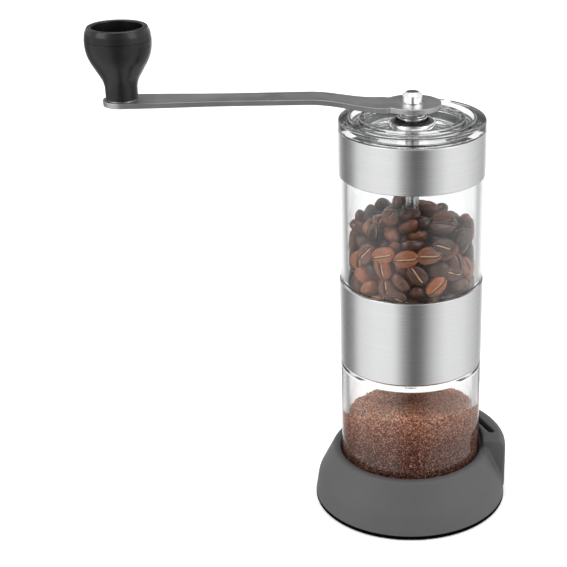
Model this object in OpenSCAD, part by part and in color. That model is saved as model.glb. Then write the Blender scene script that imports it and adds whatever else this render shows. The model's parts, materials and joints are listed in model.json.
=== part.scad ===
// Hand crank coffee grinder: clear hopper over a clear grounds jar, conical burrs in the
// steel banded middle, a cranked steel handle on top and a soft foot that stores the handle.
// Millimetres. Z runs up the grinder's axis and Z = 0 is the foot's resting face.

/* [Body] */
// Outer radius of the two steel bands
band_r = 31.1; // [30.8:0.1:31.6]
// Wall of a steel band
band_wall = 0.7; // [0.5:0.1:0.8]
// Height of the middle band's lower edge
middle_band_z = 69.6; // [69:0.1:70]
// Height of the middle band's upper edge
middle_band_top = 107.3; // [106:0.1:109]
// Height of the upper band's lower edge
upper_band_z = 154.9; // [150:0.1:156]
// Height of the upper band's upper edge
upper_band_top = 174.6; // [174:0.1:175]

/* [Hopper] */
// Outer radius of the clear hopper where it shows
hopper_r = 30.6; // [30.4:0.1:30.8]
// Inner radius of the hopper
hopper_inner_r = 27.6; // [27.2:0.1:27.8]
// Number of ribs inside the hopper
rib_count = 5; // [3:1:8]
// Width of one rib
rib_w = 2.4; // [1.5:0.1:3]
// How far a rib stands into the hopper
rib_depth = 0.9; // [0.5:0.1:1.2]

/* [Jar] */
// Outer radius of the grounds jar
jar_r = 31; // [30.6:0.1:31.1]
// Wall of the jar
jar_wall = 3; // [2:0.1:3.4]
// Height of the jar's shoulder
jar_shoulder_z = 69.3; // [68.5:0.1:69.3]
// Height of the jar's mouth
jar_mouth_z = 79; // [78:0.1:79]
// Radius of the neck between its thread turns
neck_r = 28; // [27.6:0.1:28]
// Inner radius of the neck
neck_inner_r = 25.4; // [25.2:0.1:25.8]

/* [Foot] */
// Radius of the soft foot where it rests
foot_r = 43.6; // [43:0.1:45]
// Height of the foot's rim
foot_h = 24.6; // [22:0.1:26]
// Radius of the socket that holds the jar
foot_socket_r = 31.4; // [31.4:0.1:31.6]
// Thickness under the jar
foot_floor = 4; // [2:0.1:4]
// Height of the boss that stores the crank
boss_h = 28.8; // [27:0.1:32]
// Direction of the middle of the boss
boss_azimuth = 25; // [0:1:60]
// Width of the storage slot
slot_w = 2.7; // [2.6:0.1:3]
// Length of the storage slot
slot_l = 27; // [20:1:28]

/* [Crank] */
// Distance from the grinder's axis to the knob's axis
crank_reach = 118.8; // [90:0.1:140]
// Turn of the crank from the -X direction
crank_yaw = 3.8; // [-20:0.1:20]
// Thickness of the crank's steel
crank_t = 2.2; // [2:0.1:2.4]
// Height of the hub's lower face
hub_z = 183.2; // [182.4:0.1:184]
// Radius of the hub
hub_r = 12; // [11:0.1:13]
// How far the arm rises from the hub
crank_rise = 3.5; // [2:0.1:5]
// Width of the arm beside the hub
arm_root_w = 18; // [16:0.1:20]
// Width of the arm at its narrowest
arm_w = 12.3; // [11:0.1:13]
// Width of the arm at the knob
arm_tip_w = 15.5; // [14:0.1:16]

/* [Knob] */
// Largest radius of the knob
knob_r = 13.5; // [13:0.05:14.5]
// Radius of the knob's stem
knob_stem_r = 6.6; // [6.2:0.1:7]
// Height of the knob
knob_h = 29.8; // [28:0.1:32]
// Radius of the knob's mouth
knob_mouth_r = 10.4; // [10:0.1:11]

/* [Burrs and shaft] */
// Radius of the drive shaft
shaft_r = 3.1; // [3:0.05:3.2]
// Outer radius of the fixed burr
burr_r = 20; // [19.5:0.1:20]
// Largest radius of the turning burr
cone_r = 16.3; // [16:0.1:16.3]
// Number of grooves in each burr
groove_count = 18; // [10:1:24]
// Gap of a shaft in its bush
running_gap = 0.05; // [0.02:0.01:0.08]

/* [Hidden] */
$fn = 96;

steel = [0.78, 0.78, 0.79];
clear = [0.9, 0.93, 0.95, 0.35];
black = [0.08, 0.08, 0.09];
silicone = [0.42, 0.42, 0.42];
ceramic = [0.93, 0.92, 0.88];

gap = 0.3;
fit_gap = 0.05;
band_inner_r = band_r - band_wall;
sleeve_r = band_inner_r - fit_gap;

boss_sweep = 68;
boss_bottom = 6;
boss_r = foot_r - 0.1;
boss_inner_r = foot_socket_r + 1.4;
slot_depth = 21;
slot_from_axis = 35.4;

jar_z = foot_floor + gap;
jar_floor_t = 3;
thread_count = 3;
thread_pitch = 2.6;
thread_clear_r = 29.3;
ledge_z = jar_mouth_z + 1.6;

socket_z = middle_band_z + 28.4;
spigot_r = 29;
bridge_z = socket_z + 0.1;
bridge_h = 4.5;
bridge_arm_w = 4.2;
bush_r = 6;

burr_top = middle_band_z + 20.9;
burr_bottom = middle_band_z + 6.9;
burr_throat_r = 12.6;
burr_mouth_r = 17;
carrier_r = 24.6;
carrier_z = middle_band_z + 5.3;
carrier_t = 1.5;
screw_circle_r = 22.3;
screw_count = 3;
screw_azimuth = 30;
screw_r = 1;
screw_head_r = 1.9;
screw_head_h = 1.3;
screw_l = 6.4;

cone_bottom = burr_bottom + 0.1;
cone_top = burr_top + 1.1;
cone_top_r = 6.6;
cone_skirt = 0.8;
groove_lean = 18;
groove_l = 28;
core_r = 4.65;
core_flange_r = 10;
core_flange_t = 1.15;
detent_t = 0.8;
detent_z = cone_bottom - 1.25 - detent_t;
detent_r = 7.2;
detent_count = 12;
adjuster_h = 6.4;
adjuster_z = cone_bottom - 2.35 - adjuster_h;
adjuster_r = 8;
lobe_r = 1.7;
lobe_count = 8;
insert_r = 4.5;

flats_w = 4.8;
flats_gap = 0.15;
shaft_thread_r = 2.45;
thread_bore_r = 2.6;
shaft_bottom = middle_band_z - 5.6;
shaft_top = hub_z + 6;
clip_z = bridge_z + bridge_h + 0.6;
clip_r = 5.2;
clip_t = 0.8;

spring_r = 4.6;
wire_r = 0.4;
spring_turns = 4.5;
ring_steps = 20;
wire_sides = 6;
spring_z = cone_top + wire_r + fit_gap;
spring_top = bridge_z - 1 - wire_r - fit_gap;

lid_r = band_r - 0.1;
lid_z = upper_band_top + gap;
lid_top = lid_z + 4.1;
lid_floor = lid_z - 1.3;
lid_floor_t = 2.2;
lid_floor_r = 19.3;
lid_ring_wall = 2.5;
lid_groove_r = 22.5;
lid_groove_w = 2.9;
lid_groove_depth = 2.4;
lid_plug_r = hopper_inner_r - 0.4;
lid_plug_z = lid_z - 8.6;
lid_plug_t = 3;
seal_z = lid_z - 6.6;
seal_h = 1.6;
seal_depth = 0.8;
bush_top = lid_top - 0.9;
bush_rim_r = 7.65;
bush_rim_h = 0.8;
boss_ring_r = 9.65;
boss_ring_top = bush_top - 0.6;

hub_top = hub_z + crank_t;
arm_top = hub_top + crank_rise;
rise_start = -12;
rise_end = -43;
// Outline of one side of the arm, as [x, half width] from the hub to the knob.
arm_side = [
    [0, 4],
    [rise_start, arm_root_w / 2],
    [-20, 7.8],
    [-30, 6.8],
    [-42, 6.5],
    [-60, 6.3],
    [-74, arm_w / 2],
    [-86, 6.4],
    [-100, 7.2],
    [-crank_reach, arm_tip_w / 2]
];
washer_z = hub_top + fit_gap;
washer_t = 0.25;
nut_z = washer_z + washer_t + fit_gap;
nut_corner_r = 4.68;
nut_h = 4.2;
collar_z = bush_top + 0.55;
collar_r = 6.2;
collar_t = 1;
collar_neck_r = 4.9;

knob_washer_t = 0.25;
knob_z = arm_top + knob_washer_t + 2 * fit_gap;
knob_top = knob_z + knob_h;
knob_seam_z = knob_top - 5.2;
knob_floor_z = knob_z + 16.6;
axle_r = 3;
axle_tail_r = 2.5;
axle_head_r = 4.6;
axle_head_h = 2.2;

// Unit vector along v.
function unit(v) = v / norm(v);

// Points of the arc of radius r that rounds the corner at b between a and c.
function corner(a, b, c, r, steps) =
    let (
        u = unit(a - b),
        w = unit(c - b),
        half = acos(u * w) / 2,
        centre = b + unit(u + w) * r / sin(half),
        p = b + u * r / tan(half) - centre,
        q = b + w * r / tan(half) - centre,
        start = atan2(p.y, p.x),
        sweep = (atan2(q.y, q.x) - start + 540) % 360 - 180
    )
    [for (i = [0:steps]) centre + r * [cos(start + sweep * i / steps), sin(start + sweep * i / steps)]];

// Outline through [x, y, radius] points, each corner rounded by its radius.
function rounded(points, steps = 6) =
    let (n = len(points), flat = [for (p = points) [p.x, p.y]])
    [
        for (i = [0:n - 1])
            each points[i].z > 0
                ? corner(flat[(i + n - 1) % n], flat[i], flat[(i + 1) % n], points[i].z, steps)
                : [flat[i]]
    ];

// Solid of revolution with the given rounded outline.
module turned(points, steps = 6) {
    rotate_extrude() polygon(rounded(points, steps));
}

// Plain ring or tube.
module ring(outer, inner, z, h) {
    rotate_extrude() translate([inner, z]) square([outer - inner, h]);
}

// Rod with two flats.
module flatted_rod(r, w, z, h) {
    translate([0, 0, z])
        intersection() {
            cylinder(r = r, h = h);
            translate([-r - 1, -w / 2, 0]) cube([2 * r + 2, w, h]);
        }
}

// Copies of the children round the axis.
module around(count, first = 0) {
    for (i = [0:count - 1])
        rotate(first + i * 360 / count) children();
}

// ---- foot ----

module storage_boss() {
    rotate(boss_azimuth - boss_sweep / 2)
        rotate_extrude(angle = boss_sweep)
            polygon(rounded([
                [boss_inner_r, boss_bottom, 0],
                [boss_r, boss_bottom, 0],
                [boss_r, boss_h, 3.6],
                [boss_inner_r, boss_h, 0.8]
            ]));
}

module storage_slot() {
    straight = slot_l / 2 - slot_w / 2;
    rotate(boss_azimuth)
        translate([slot_from_axis, 0, boss_h - slot_depth])
            linear_extrude(slot_depth + 1) {
                square([slot_w, 2 * straight], center = true);
                for (side = [-1, 1])
                    translate([0, side * straight]) circle(r = slot_w / 2, $fn = 32);
            }
}

module silicone_base() {
    color(silicone)
        difference() {
            union() {
                turned([
                    [0, 0, 0],
                    [foot_r, 0, 0.8],
                    [foot_r - 1.65, foot_h - 13.8, 8],
                    [foot_r - 8.5, foot_h, 1.7],
                    [foot_socket_r, foot_h, 1],
                    [foot_socket_r, foot_floor, 0],
                    [0, foot_floor, 0]
                ]);
                storage_boss();
            }
            storage_slot();
        }
}

// ---- jar ----

module grounds_jar() {
    color(clear) {
        turned([
            [0, jar_z, 0],
            [jar_r, jar_z, 2.4],
            [jar_r, jar_shoulder_z, 0.5],
            [neck_r, jar_shoulder_z, 0],
            [neck_r, jar_mouth_z, 0.5],
            [neck_inner_r, jar_mouth_z, 0.5],
            [neck_inner_r, jar_shoulder_z - 1, 1.5],
            [jar_r - jar_wall, jar_shoulder_z - 3.6, 1.5],
            [jar_r - jar_wall, jar_z + jar_floor_t, 2.4],
            [0, jar_z + jar_floor_t, 0]
        ]);
        for (i = [0:thread_count - 1])
            turned([
                [neck_r - 0.2, jar_shoulder_z + 2 + i * thread_pitch, 0],
                [neck_r + 0.4, jar_shoulder_z + 2.5 + i * thread_pitch, 0],
                [neck_r - 0.2, jar_shoulder_z + 3 + i * thread_pitch, 0]
            ]);
    }
}

module jar_gasket() {
    color(black)
        turned([
            [neck_inner_r + 0.1, jar_mouth_z + 0.15, 0.3],
            [neck_r - 0.1, jar_mouth_z + 0.15, 0.3],
            [neck_r - 0.1, ledge_z - 0.15, 0.3],
            [neck_inner_r + 0.1, ledge_z - 0.15, 0.3]
        ]);
}

// ---- middle ----

module burr_housing() {
    bottom = middle_band_z + gap;
    top = middle_band_top - 0.1;
    color(black)
        difference() {
            union() {
                turned([
                    [thread_clear_r, bottom, 0],
                    [sleeve_r, bottom, 0],
                    [sleeve_r, top, 0],
                    [spigot_r + fit_gap, top, 0],
                    [spigot_r + fit_gap, socket_z, 0],
                    [hopper_inner_r - 1.4, socket_z, 0],
                    [burr_mouth_r, burr_top + 1.2, 1],
                    [burr_mouth_r, burr_top + 0.1, 0],
                    [burr_r + fit_gap, burr_top + 0.1, 0],
                    [burr_r + fit_gap, carrier_z, 0],
                    [carrier_r, carrier_z, 0.5],
                    [carrier_r, ledge_z, 0.5],
                    [thread_clear_r, ledge_z, 0]
                ]);
                for (i = [0:thread_count - 2])
                    turned([
                        [thread_clear_r + 0.2, jar_shoulder_z + 3.3 + i * thread_pitch, 0],
                        [thread_clear_r - 0.5, jar_shoulder_z + 3.8 + i * thread_pitch, 0],
                        [thread_clear_r + 0.2, jar_shoulder_z + 4.3 + i * thread_pitch, 0]
                    ]);
            }
            around(screw_count, screw_azimuth)
                translate([screw_circle_r, 0, carrier_z - 1])
                    cylinder(r = screw_r + fit_gap, h = screw_l + 1.1, $fn = 32);
        }
}

module middle_band() {
    color(steel)
        turned([
            [band_inner_r, middle_band_z, 0],
            [band_r, middle_band_z, 0.3],
            [band_r, middle_band_top, 0.3],
            [band_inner_r, middle_band_top, 0]
        ], 3);
}

module bearing_bridge() {
    ring_r = hopper_inner_r - 0.1;
    color(black) {
        ring(ring_r, ring_r - 1.2, bridge_z, bridge_h);
        ring(bush_r + 2.2, bush_r + 0.02, bridge_z, bridge_h);
        around(3, 90)
            translate([bush_r + 1, -bridge_arm_w / 2, bridge_z])
                cube([ring_r - bush_r - 1.6, bridge_arm_w, bridge_h]);
    }
}

module lower_bush() {
    color("goldenrod")
        turned([
            [shaft_r + running_gap, bridge_z - 1, 0],
            [bush_r + 1, bridge_z - 1, 0.2],
            [bush_r + 1, bridge_z - 0.02, 0],
            [bush_r, bridge_z - 0.02, 0],
            [bush_r, bridge_z + bridge_h + 0.4, 0.4],
            [shaft_r + running_gap, bridge_z + bridge_h + 0.4, 0]
        ]);
}

// ---- hopper ----

module hopper() {
    bottom = socket_z + fit_gap;
    rib_z = middle_band_z + 35;
    rib_h = upper_band_z - rib_z - 4;
    color(clear) {
        turned([
            [hopper_inner_r, bottom, 0],
            [spigot_r, bottom, 0.3],
            [spigot_r, middle_band_top + 0.1, 0],
            [hopper_r, middle_band_top + 0.1, 0],
            [hopper_r, upper_band_z - 0.2, 0],
            [sleeve_r, upper_band_z - 0.2, 0],
            [sleeve_r, upper_band_top, 0.3],
            [hopper_inner_r, upper_band_top, 0.3]
        ]);
        around(rib_count, 180)
            translate([hopper_inner_r - rib_depth, -rib_w / 2, rib_z])
                cube([rib_depth + 1, rib_w, rib_h]);
    }
}

module upper_band() {
    color(steel)
        turned([
            [band_inner_r, upper_band_z, 0],
            [band_r, upper_band_z, 0.3],
            [band_r, upper_band_top, 0.3],
            [band_inner_r, upper_band_top, 0]
        ], 3);
}

// ---- burrs ----

// Radius of the fixed burr's grinding face at height z.
function burr_face_r(z) =
    burr_throat_r + (burr_mouth_r - burr_throat_r) * (burr_top - z) / (burr_top - burr_bottom);

// Radius of the turning burr's grinding face at height z.
function cone_face_r(z) =
    cone_top_r + (cone_r - cone_top_r) * (cone_top - z) / (cone_top - cone_bottom - cone_skirt);

// Slanted grooves cut into a cone through radius r at height z, leaning by slope.
module grooves(r, z, slope, depth) {
    around(groove_count)
        translate([r, 0, z])
            rotate([0, -slope, 0])
                rotate([groove_lean, 0, 0])
                    translate([-depth, -0.5, -groove_l / 2]) cube([2 * depth, 1, groove_l]);
}

module outer_burr() {
    slope = -atan((burr_mouth_r - burr_throat_r) / (burr_top - burr_bottom));
    middle = (burr_top + burr_bottom) / 2;
    color(ceramic)
        difference() {
            turned([
                [burr_mouth_r, burr_bottom, 0],
                [burr_r, burr_bottom, 0.4],
                [burr_r, burr_top, 0.4],
                [burr_throat_r + 2.4, burr_top, 0],
                [burr_throat_r, burr_top - 1.6, 0]
            ]);
            grooves(burr_face_r(middle) - 0.3, middle, -slope, 0.8);
        }
}

module inner_burr() {
    slope = atan((cone_r - cone_top_r) / (cone_top - cone_bottom - cone_skirt));
    middle = (cone_top + cone_bottom) / 2;
    color(ceramic)
        difference() {
            turned([
                [core_r + fit_gap, cone_bottom, 0],
                [cone_r, cone_bottom, 0],
                [cone_r, cone_bottom + cone_skirt, 0],
                [cone_top_r, cone_top, 0.3],
                [core_r + fit_gap, cone_top, 0]
            ]);
            grooves(cone_face_r(middle) + 0.1, middle, slope, 0.7);
        }
}

module burr_retainer() {
    color(black)
        difference() {
            turned([
                [burr_mouth_r + 0.2, carrier_z - carrier_t, 0.3],
                [carrier_r, carrier_z - carrier_t, 0.3],
                [carrier_r, carrier_z, 0],
                [burr_r - fit_gap, carrier_z, 0],
                [burr_r - fit_gap, burr_bottom - fit_gap, 0],
                [burr_mouth_r + 0.2, burr_bottom - fit_gap, 0]
            ]);
            around(screw_count, screw_azimuth)
                translate([screw_circle_r, 0, carrier_z - carrier_t - 0.5])
                    cylinder(r = screw_r + 0.1, h = carrier_t + 1, $fn = 32);
        }
}

module retainer_screws() {
    cross_l = 2.2;
    cross_w = 0.4;
    color(steel)
        around(screw_count, screw_azimuth)
            translate([screw_circle_r, 0, carrier_z - carrier_t - screw_head_h])
                difference() {
                    union() {
                        cylinder(r = screw_head_r, h = screw_head_h, $fn = 32);
                        translate([0, 0, screw_head_h]) cylinder(r = screw_r, h = screw_l, $fn = 32);
                    }
                    for (turn = [0, 90])
                        rotate(turn)
                            translate([-cross_l / 2, -cross_w / 2, -0.1]) cube([cross_l, cross_w, 0.8]);
                }
}

// Hole through a sliding piece for the shaft's flats.
module flats_hole(z, h) {
    flatted_rod(shaft_r + 0.25, flats_w + 2 * flats_gap, z, h);
}

module burr_core() {
    flange_top = cone_bottom - fit_gap;
    flange_z = flange_top - core_flange_t;
    color(black)
        difference() {
            turned([
                [0, flange_z, 0],
                [core_flange_r, flange_z, 0.3],
                [core_flange_r, flange_top, 0],
                [core_r, flange_top, 0],
                [core_r, cone_top, 0.2],
                [0, cone_top, 0]
            ]);
            flats_hole(flange_z - 1, cone_top - flange_z + 2);
        }
}

module detent_washer() {
    color(steel)
        difference() {
            translate([0, 0, detent_z]) cylinder(r = detent_r, h = detent_t);
            flats_hole(detent_z - 1, detent_t + 2);
            around(detent_count)
                translate([detent_r - 1.3, 0, detent_z - 1]) cylinder(r = 0.45, h = detent_t + 2, $fn = 16);
        }
}

module adjusting_nut() {
    color(black)
        difference() {
            translate([0, 0, adjuster_z])
                linear_extrude(adjuster_h) {
                    circle(r = adjuster_r);
                    around(lobe_count) translate([adjuster_r - 0.2, 0]) circle(r = lobe_r, $fn = 32);
                }
            translate([0, 0, adjuster_z - 1])
                cylinder(r = insert_r + fit_gap, h = adjuster_h + 2, $fn = 6);
        }
}

module nut_insert() {
    color("goldenrod")
        difference() {
            translate([0, 0, adjuster_z]) cylinder(r = insert_r, h = adjuster_h, $fn = 6);
            translate([0, 0, adjuster_z - 1]) cylinder(r = thread_bore_r, h = adjuster_h + 2);
        }
}

module drive_shaft() {
    lower_flats_z = cone_bottom - 2.2;
    lower_flats_top = cone_top + 1.4;
    upper_flats_z = hub_z - 1;
    color(steel) {
        translate([0, 0, shaft_bottom])
            cylinder(r = shaft_thread_r, h = lower_flats_z - shaft_bottom + 0.5);
        flatted_rod(shaft_r, flats_w, lower_flats_z, lower_flats_top - lower_flats_z + 0.5);
        translate([0, 0, lower_flats_top]) cylinder(r = shaft_r, h = upper_flats_z - lower_flats_top);
        flatted_rod(shaft_r, flats_w, upper_flats_z - 0.5, hub_top - upper_flats_z + 0.5);
        translate([0, 0, hub_top - 0.5]) cylinder(r = shaft_thread_r, h = shaft_top - hub_top + 0.5);
    }
}

module retaining_ring() {
    mouth_w = 2.4;
    color(steel)
        difference() {
            ring(clip_r, shaft_r, clip_z, clip_t);
            translate([0, -mouth_w / 2, clip_z - 1]) cube([clip_r + 1, mouth_w, clip_t + 2]);
        }
}

// ---- spring ----

// Point on the wire's surface at step i and side j.
function wire_point(i, j) =
    let (
        turn = 360 * i / ring_steps,
        side = 360 * j / wire_sides,
        r = spring_r + wire_r * cos(side),
        z = spring_z + (spring_top - spring_z) * i / (spring_turns * ring_steps)
    )
    [r * cos(turn), r * sin(turn), z + wire_r * sin(side)];

module burr_spring() {
    steps = spring_turns * ring_steps;
    points = [for (i = [0:steps]) for (j = [0:wire_sides - 1]) wire_point(i, j)];
    sides = [
        for (i = [0:steps - 1])
            for (j = [0:wire_sides - 1])
                let (
                    a = i * wire_sides + j,
                    b = i * wire_sides + (j + 1) % wire_sides
                )
                [a, b, b + wire_sides, a + wire_sides]
    ];
    first_cap = [for (j = [wire_sides - 1:-1:0]) j];
    last_cap = [for (j = [0:wire_sides - 1]) steps * wire_sides + j];
    color(steel) polyhedron(points, concat(sides, [first_cap, last_cap]));
}

// ---- lid ----

module lid() {
    groove_end = lid_groove_r + lid_groove_w;
    ring_r = lid_floor_r + 0.5;
    color(clear)
        turned([
            [bush_r + fit_gap, lid_floor - lid_floor_t, 0],
            [lid_plug_r - lid_plug_t, lid_floor - lid_floor_t, 0],
            [lid_plug_r - lid_plug_t, lid_plug_z, 0.5],
            [lid_plug_r, lid_plug_z, 0.5],
            [lid_plug_r, seal_z, 0],
            [lid_plug_r - seal_depth, seal_z, 0],
            [lid_plug_r - seal_depth, seal_z + seal_h, 0],
            [lid_plug_r, seal_z + seal_h, 0],
            [lid_plug_r, lid_z, 0],
            [lid_r, lid_z, 0.4],
            [lid_r, lid_top, 0.9],
            [groove_end + 1.4, lid_top, 0],
            [groove_end + 1.1, lid_top + 0.5, 0.2],
            [groove_end + 0.3, lid_top + 0.5, 0.2],
            [groove_end, lid_top - lid_groove_depth, 0.6],
            [lid_groove_r, lid_top - lid_groove_depth, 0.6],
            [ring_r + lid_ring_wall, lid_top + 0.3, 0.5],
            [ring_r, lid_top + 0.3, 0.5],
            [lid_floor_r, lid_floor, 0.8],
            [bush_r + fit_gap, lid_floor, 0]
        ]);
}

module lid_seal() {
    bulge = 0.25;
    color(black)
        turned([
            [lid_plug_r - seal_depth + fit_gap, seal_z + 0.1, 0],
            [lid_plug_r + bulge, seal_z + 0.1, 0.3],
            [lid_plug_r + bulge, seal_z + seal_h - 0.1, 0.3],
            [lid_plug_r - seal_depth + fit_gap, seal_z + seal_h - 0.1, 0]
        ]);
}

module lid_ring() {
    color([0.7, 0.7, 0.71])
        turned([
            [bush_rim_r + 0.1, lid_floor + fit_gap, 0],
            [boss_ring_r, lid_floor + fit_gap, 0],
            [boss_ring_r, boss_ring_top, 0.8],
            [bush_rim_r + 0.1, boss_ring_top, 0.3]
        ]);
}

module lid_bush() {
    bore = shaft_r + running_gap;
    color(black)
        turned([
            [bore, lid_floor - 3.2, 0.3],
            [bush_r, lid_floor - 3.2, 0.3],
            [bush_r, lid_floor + fit_gap, 0],
            [bush_rim_r, lid_floor + fit_gap, 0],
            [bush_rim_r, bush_top, 0.4],
            [bush_rim_r - 0.75, bush_top, 0.2],
            [bush_rim_r - 0.75, bush_top - bush_rim_h, 0],
            [bore, bush_top - bush_rim_h, 0]
        ]);
}

// ---- crank ----

// Share of the rise reached at x, as a smooth S from the hub to the arm.
function rise_share(x) =
    x > rise_start ? 0 : x < rise_end ? 1 : (1 - cos(180 * (x - rise_start) / (rise_end - rise_start))) / 2;

// Side view of the crank: one strip of steel that steps up from the hub.
function crank_side(base) =
    let (
        steps = 14,
        xs = [for (i = [0:steps]) rise_start + (rise_end - rise_start) * i / steps],
        far = -crank_reach - 20
    )
    concat(
        [[20, base]],
        [for (x = xs) [x, base + crank_rise * rise_share(x)]],
        [[far, base + crank_rise]]
    );

module crank_outline() {
    last = len(arm_side) - 1;
    circle(r = hub_r);
    translate([-crank_reach, 0]) circle(r = arm_tip_w / 2);
    polygon(concat(
        arm_side,
        [for (i = [0:last]) [arm_side[last - i].x, -arm_side[last - i].y]]
    ));
}

module crank_arm() {
    lower = crank_side(hub_z);
    upper = crank_side(hub_top);
    n = len(upper);
    outline = concat(lower, [for (i = [0:n - 1]) upper[n - 1 - i]]);
    half_w = hub_r + 1;
    color(steel)
        rotate(crank_yaw)
            difference() {
                intersection() {
                    translate([0, 0, hub_z - 1]) linear_extrude(crank_t + crank_rise + 2) crank_outline();
                    translate([0, half_w, 0]) rotate([90, 0, 0]) linear_extrude(2 * half_w) polygon(outline);
                }
                rotate(-crank_yaw) flats_hole(hub_z - 1, crank_t + 2);
                translate([-crank_reach, 0, hub_z])
                    cylinder(r = axle_tail_r + fit_gap, h = crank_rise + 2 * crank_t, $fn = 32);
            }
}

module crank_collar() {
    bore = shaft_r + 0.2;
    color(steel)
        turned([
            [bore, collar_z, 0],
            [collar_r, collar_z, 0.25],
            [collar_r, collar_z + collar_t, 0.4],
            [collar_neck_r, collar_z + collar_t, 0.4],
            [collar_neck_r, hub_z, 0],
            [bore, hub_z, 0]
        ]);
}

module nut_washer() {
    color(steel) ring(nut_corner_r - 0.3, shaft_thread_r + 0.3, washer_z, washer_t);
}

module cap_nut() {
    color(steel)
        difference() {
            intersection() {
                rotate(30) translate([0, 0, nut_z]) cylinder(r = nut_corner_r, h = nut_h, $fn = 6);
                turned([
                    [0, nut_z, 0],
                    [nut_corner_r - 0.25, nut_z, 0],
                    [nut_corner_r + 0.05, nut_z + 0.3, 0],
                    [nut_corner_r + 0.05, nut_z + nut_h - 1.4, 0.8],
                    [2.6, nut_z + nut_h, 0.6],
                    [0, nut_z + nut_h, 0]
                ]);
            }
            translate([0, 0, nut_z - 1])
                cylinder(r = thread_bore_r, h = shaft_top - nut_z + 1.1);
        }
}

// Moves the children to the knob's axis.
module at_knob() {
    rotate(crank_yaw) translate([-crank_reach, 0, 0]) children();
}

module knob_axle() {
    tail_z = arm_top - crank_t - 0.2;
    head_z = knob_floor_z + 0.25;
    color(steel)
        at_knob()
            difference() {
                turned([
                    [0, tail_z, 0],
                    [axle_tail_r, tail_z, 0.3],
                    [axle_tail_r, arm_top + fit_gap, 0],
                    [axle_r, arm_top + fit_gap, 0],
                    [axle_r, head_z, 0],
                    [axle_head_r, head_z, 0],
                    [axle_head_r, head_z + axle_head_h, 0.7],
                    [0, head_z + axle_head_h, 0]
                ]);
                translate([0, 0, head_z + 0.9]) cylinder(r = 1.45, h = axle_head_h, $fn = 6);
            }
}

module knob_washer() {
    color(steel) at_knob() ring(knob_stem_r - 0.6, axle_r + fit_gap, arm_top + fit_gap, knob_washer_t);
}

module knob_lower() {
    bore = axle_r + running_gap;
    color(black)
        at_knob()
            turned([
                [bore, knob_z, 0],
                [knob_stem_r - 0.05, knob_z, 0.4],
                [knob_stem_r, knob_z + 6.8, 11],
                [knob_r + 0.02, knob_z + 18.8, 17],
                [knob_r, knob_seam_z, 0.15],
                [knob_mouth_r - 0.4, knob_seam_z, 0],
                [knob_mouth_r - 2.4, knob_floor_z, 3],
                [bore, knob_floor_z, 0]
            ]);
}

module knob_upper() {
    seam_top = knob_seam_z + 0.1;
    color(black)
        at_knob()
            turned([
                [knob_mouth_r - 0.4, seam_top, 0],
                [knob_r, seam_top, 0.15],
                [knob_r - 0.35, knob_top - 2.4, 4],
                [knob_r - 1.4, knob_top, 0.7],
                [knob_mouth_r, knob_top, 0.6]
            ]);
}

silicone_base();
grounds_jar();
jar_gasket();
burr_housing();
middle_band();
hopper();
upper_band();
outer_burr();
burr_retainer();
retainer_screws();
bearing_bridge();
lower_bush();
drive_shaft();
retaining_ring();
burr_spring();
inner_burr();
burr_core();
detent_washer();
adjusting_nut();
nut_insert();
lid();
lid_seal();
lid_ring();
lid_bush();
crank_arm();
crank_collar();
nut_washer();
cap_nut();
knob_axle();
knob_washer();
knob_lower();
knob_upper();
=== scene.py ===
"""Looks of a hand crank coffee grinder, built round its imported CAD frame. Lengths are in metres."""

import json
import math
import random

import bmesh
import bpy
import numpy as np
from mathutils import Euler, Matrix, Vector

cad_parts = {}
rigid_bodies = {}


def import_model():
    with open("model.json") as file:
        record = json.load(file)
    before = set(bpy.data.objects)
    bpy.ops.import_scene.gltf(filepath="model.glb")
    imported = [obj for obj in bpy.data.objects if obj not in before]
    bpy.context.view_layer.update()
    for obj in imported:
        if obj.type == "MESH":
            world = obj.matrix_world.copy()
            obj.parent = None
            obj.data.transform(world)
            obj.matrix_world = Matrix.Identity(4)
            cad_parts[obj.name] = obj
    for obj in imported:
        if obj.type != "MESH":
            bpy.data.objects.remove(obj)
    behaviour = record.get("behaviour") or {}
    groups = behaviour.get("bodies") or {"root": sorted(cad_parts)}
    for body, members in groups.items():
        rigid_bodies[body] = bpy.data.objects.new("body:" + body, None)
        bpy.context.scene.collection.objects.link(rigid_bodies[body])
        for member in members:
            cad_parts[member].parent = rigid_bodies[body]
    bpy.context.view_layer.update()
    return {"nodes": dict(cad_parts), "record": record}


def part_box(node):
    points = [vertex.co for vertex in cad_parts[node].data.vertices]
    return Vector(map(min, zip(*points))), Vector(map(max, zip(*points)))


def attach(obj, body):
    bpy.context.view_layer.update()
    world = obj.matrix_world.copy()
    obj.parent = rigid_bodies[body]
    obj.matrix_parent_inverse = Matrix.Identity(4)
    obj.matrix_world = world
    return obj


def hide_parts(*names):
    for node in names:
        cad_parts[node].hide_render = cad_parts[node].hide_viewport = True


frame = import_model()

MM = 0.001
NODES = frame["nodes"]
FINE = 256  # steps round a clear turned piece


# ---------------------------------------------------------------- places from the frame

def low(node):
    """Lowest corner of a CAD node's box."""
    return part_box(node)[0]


def high(node):
    """Highest corner of a CAD node's box."""
    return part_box(node)[1]


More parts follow.
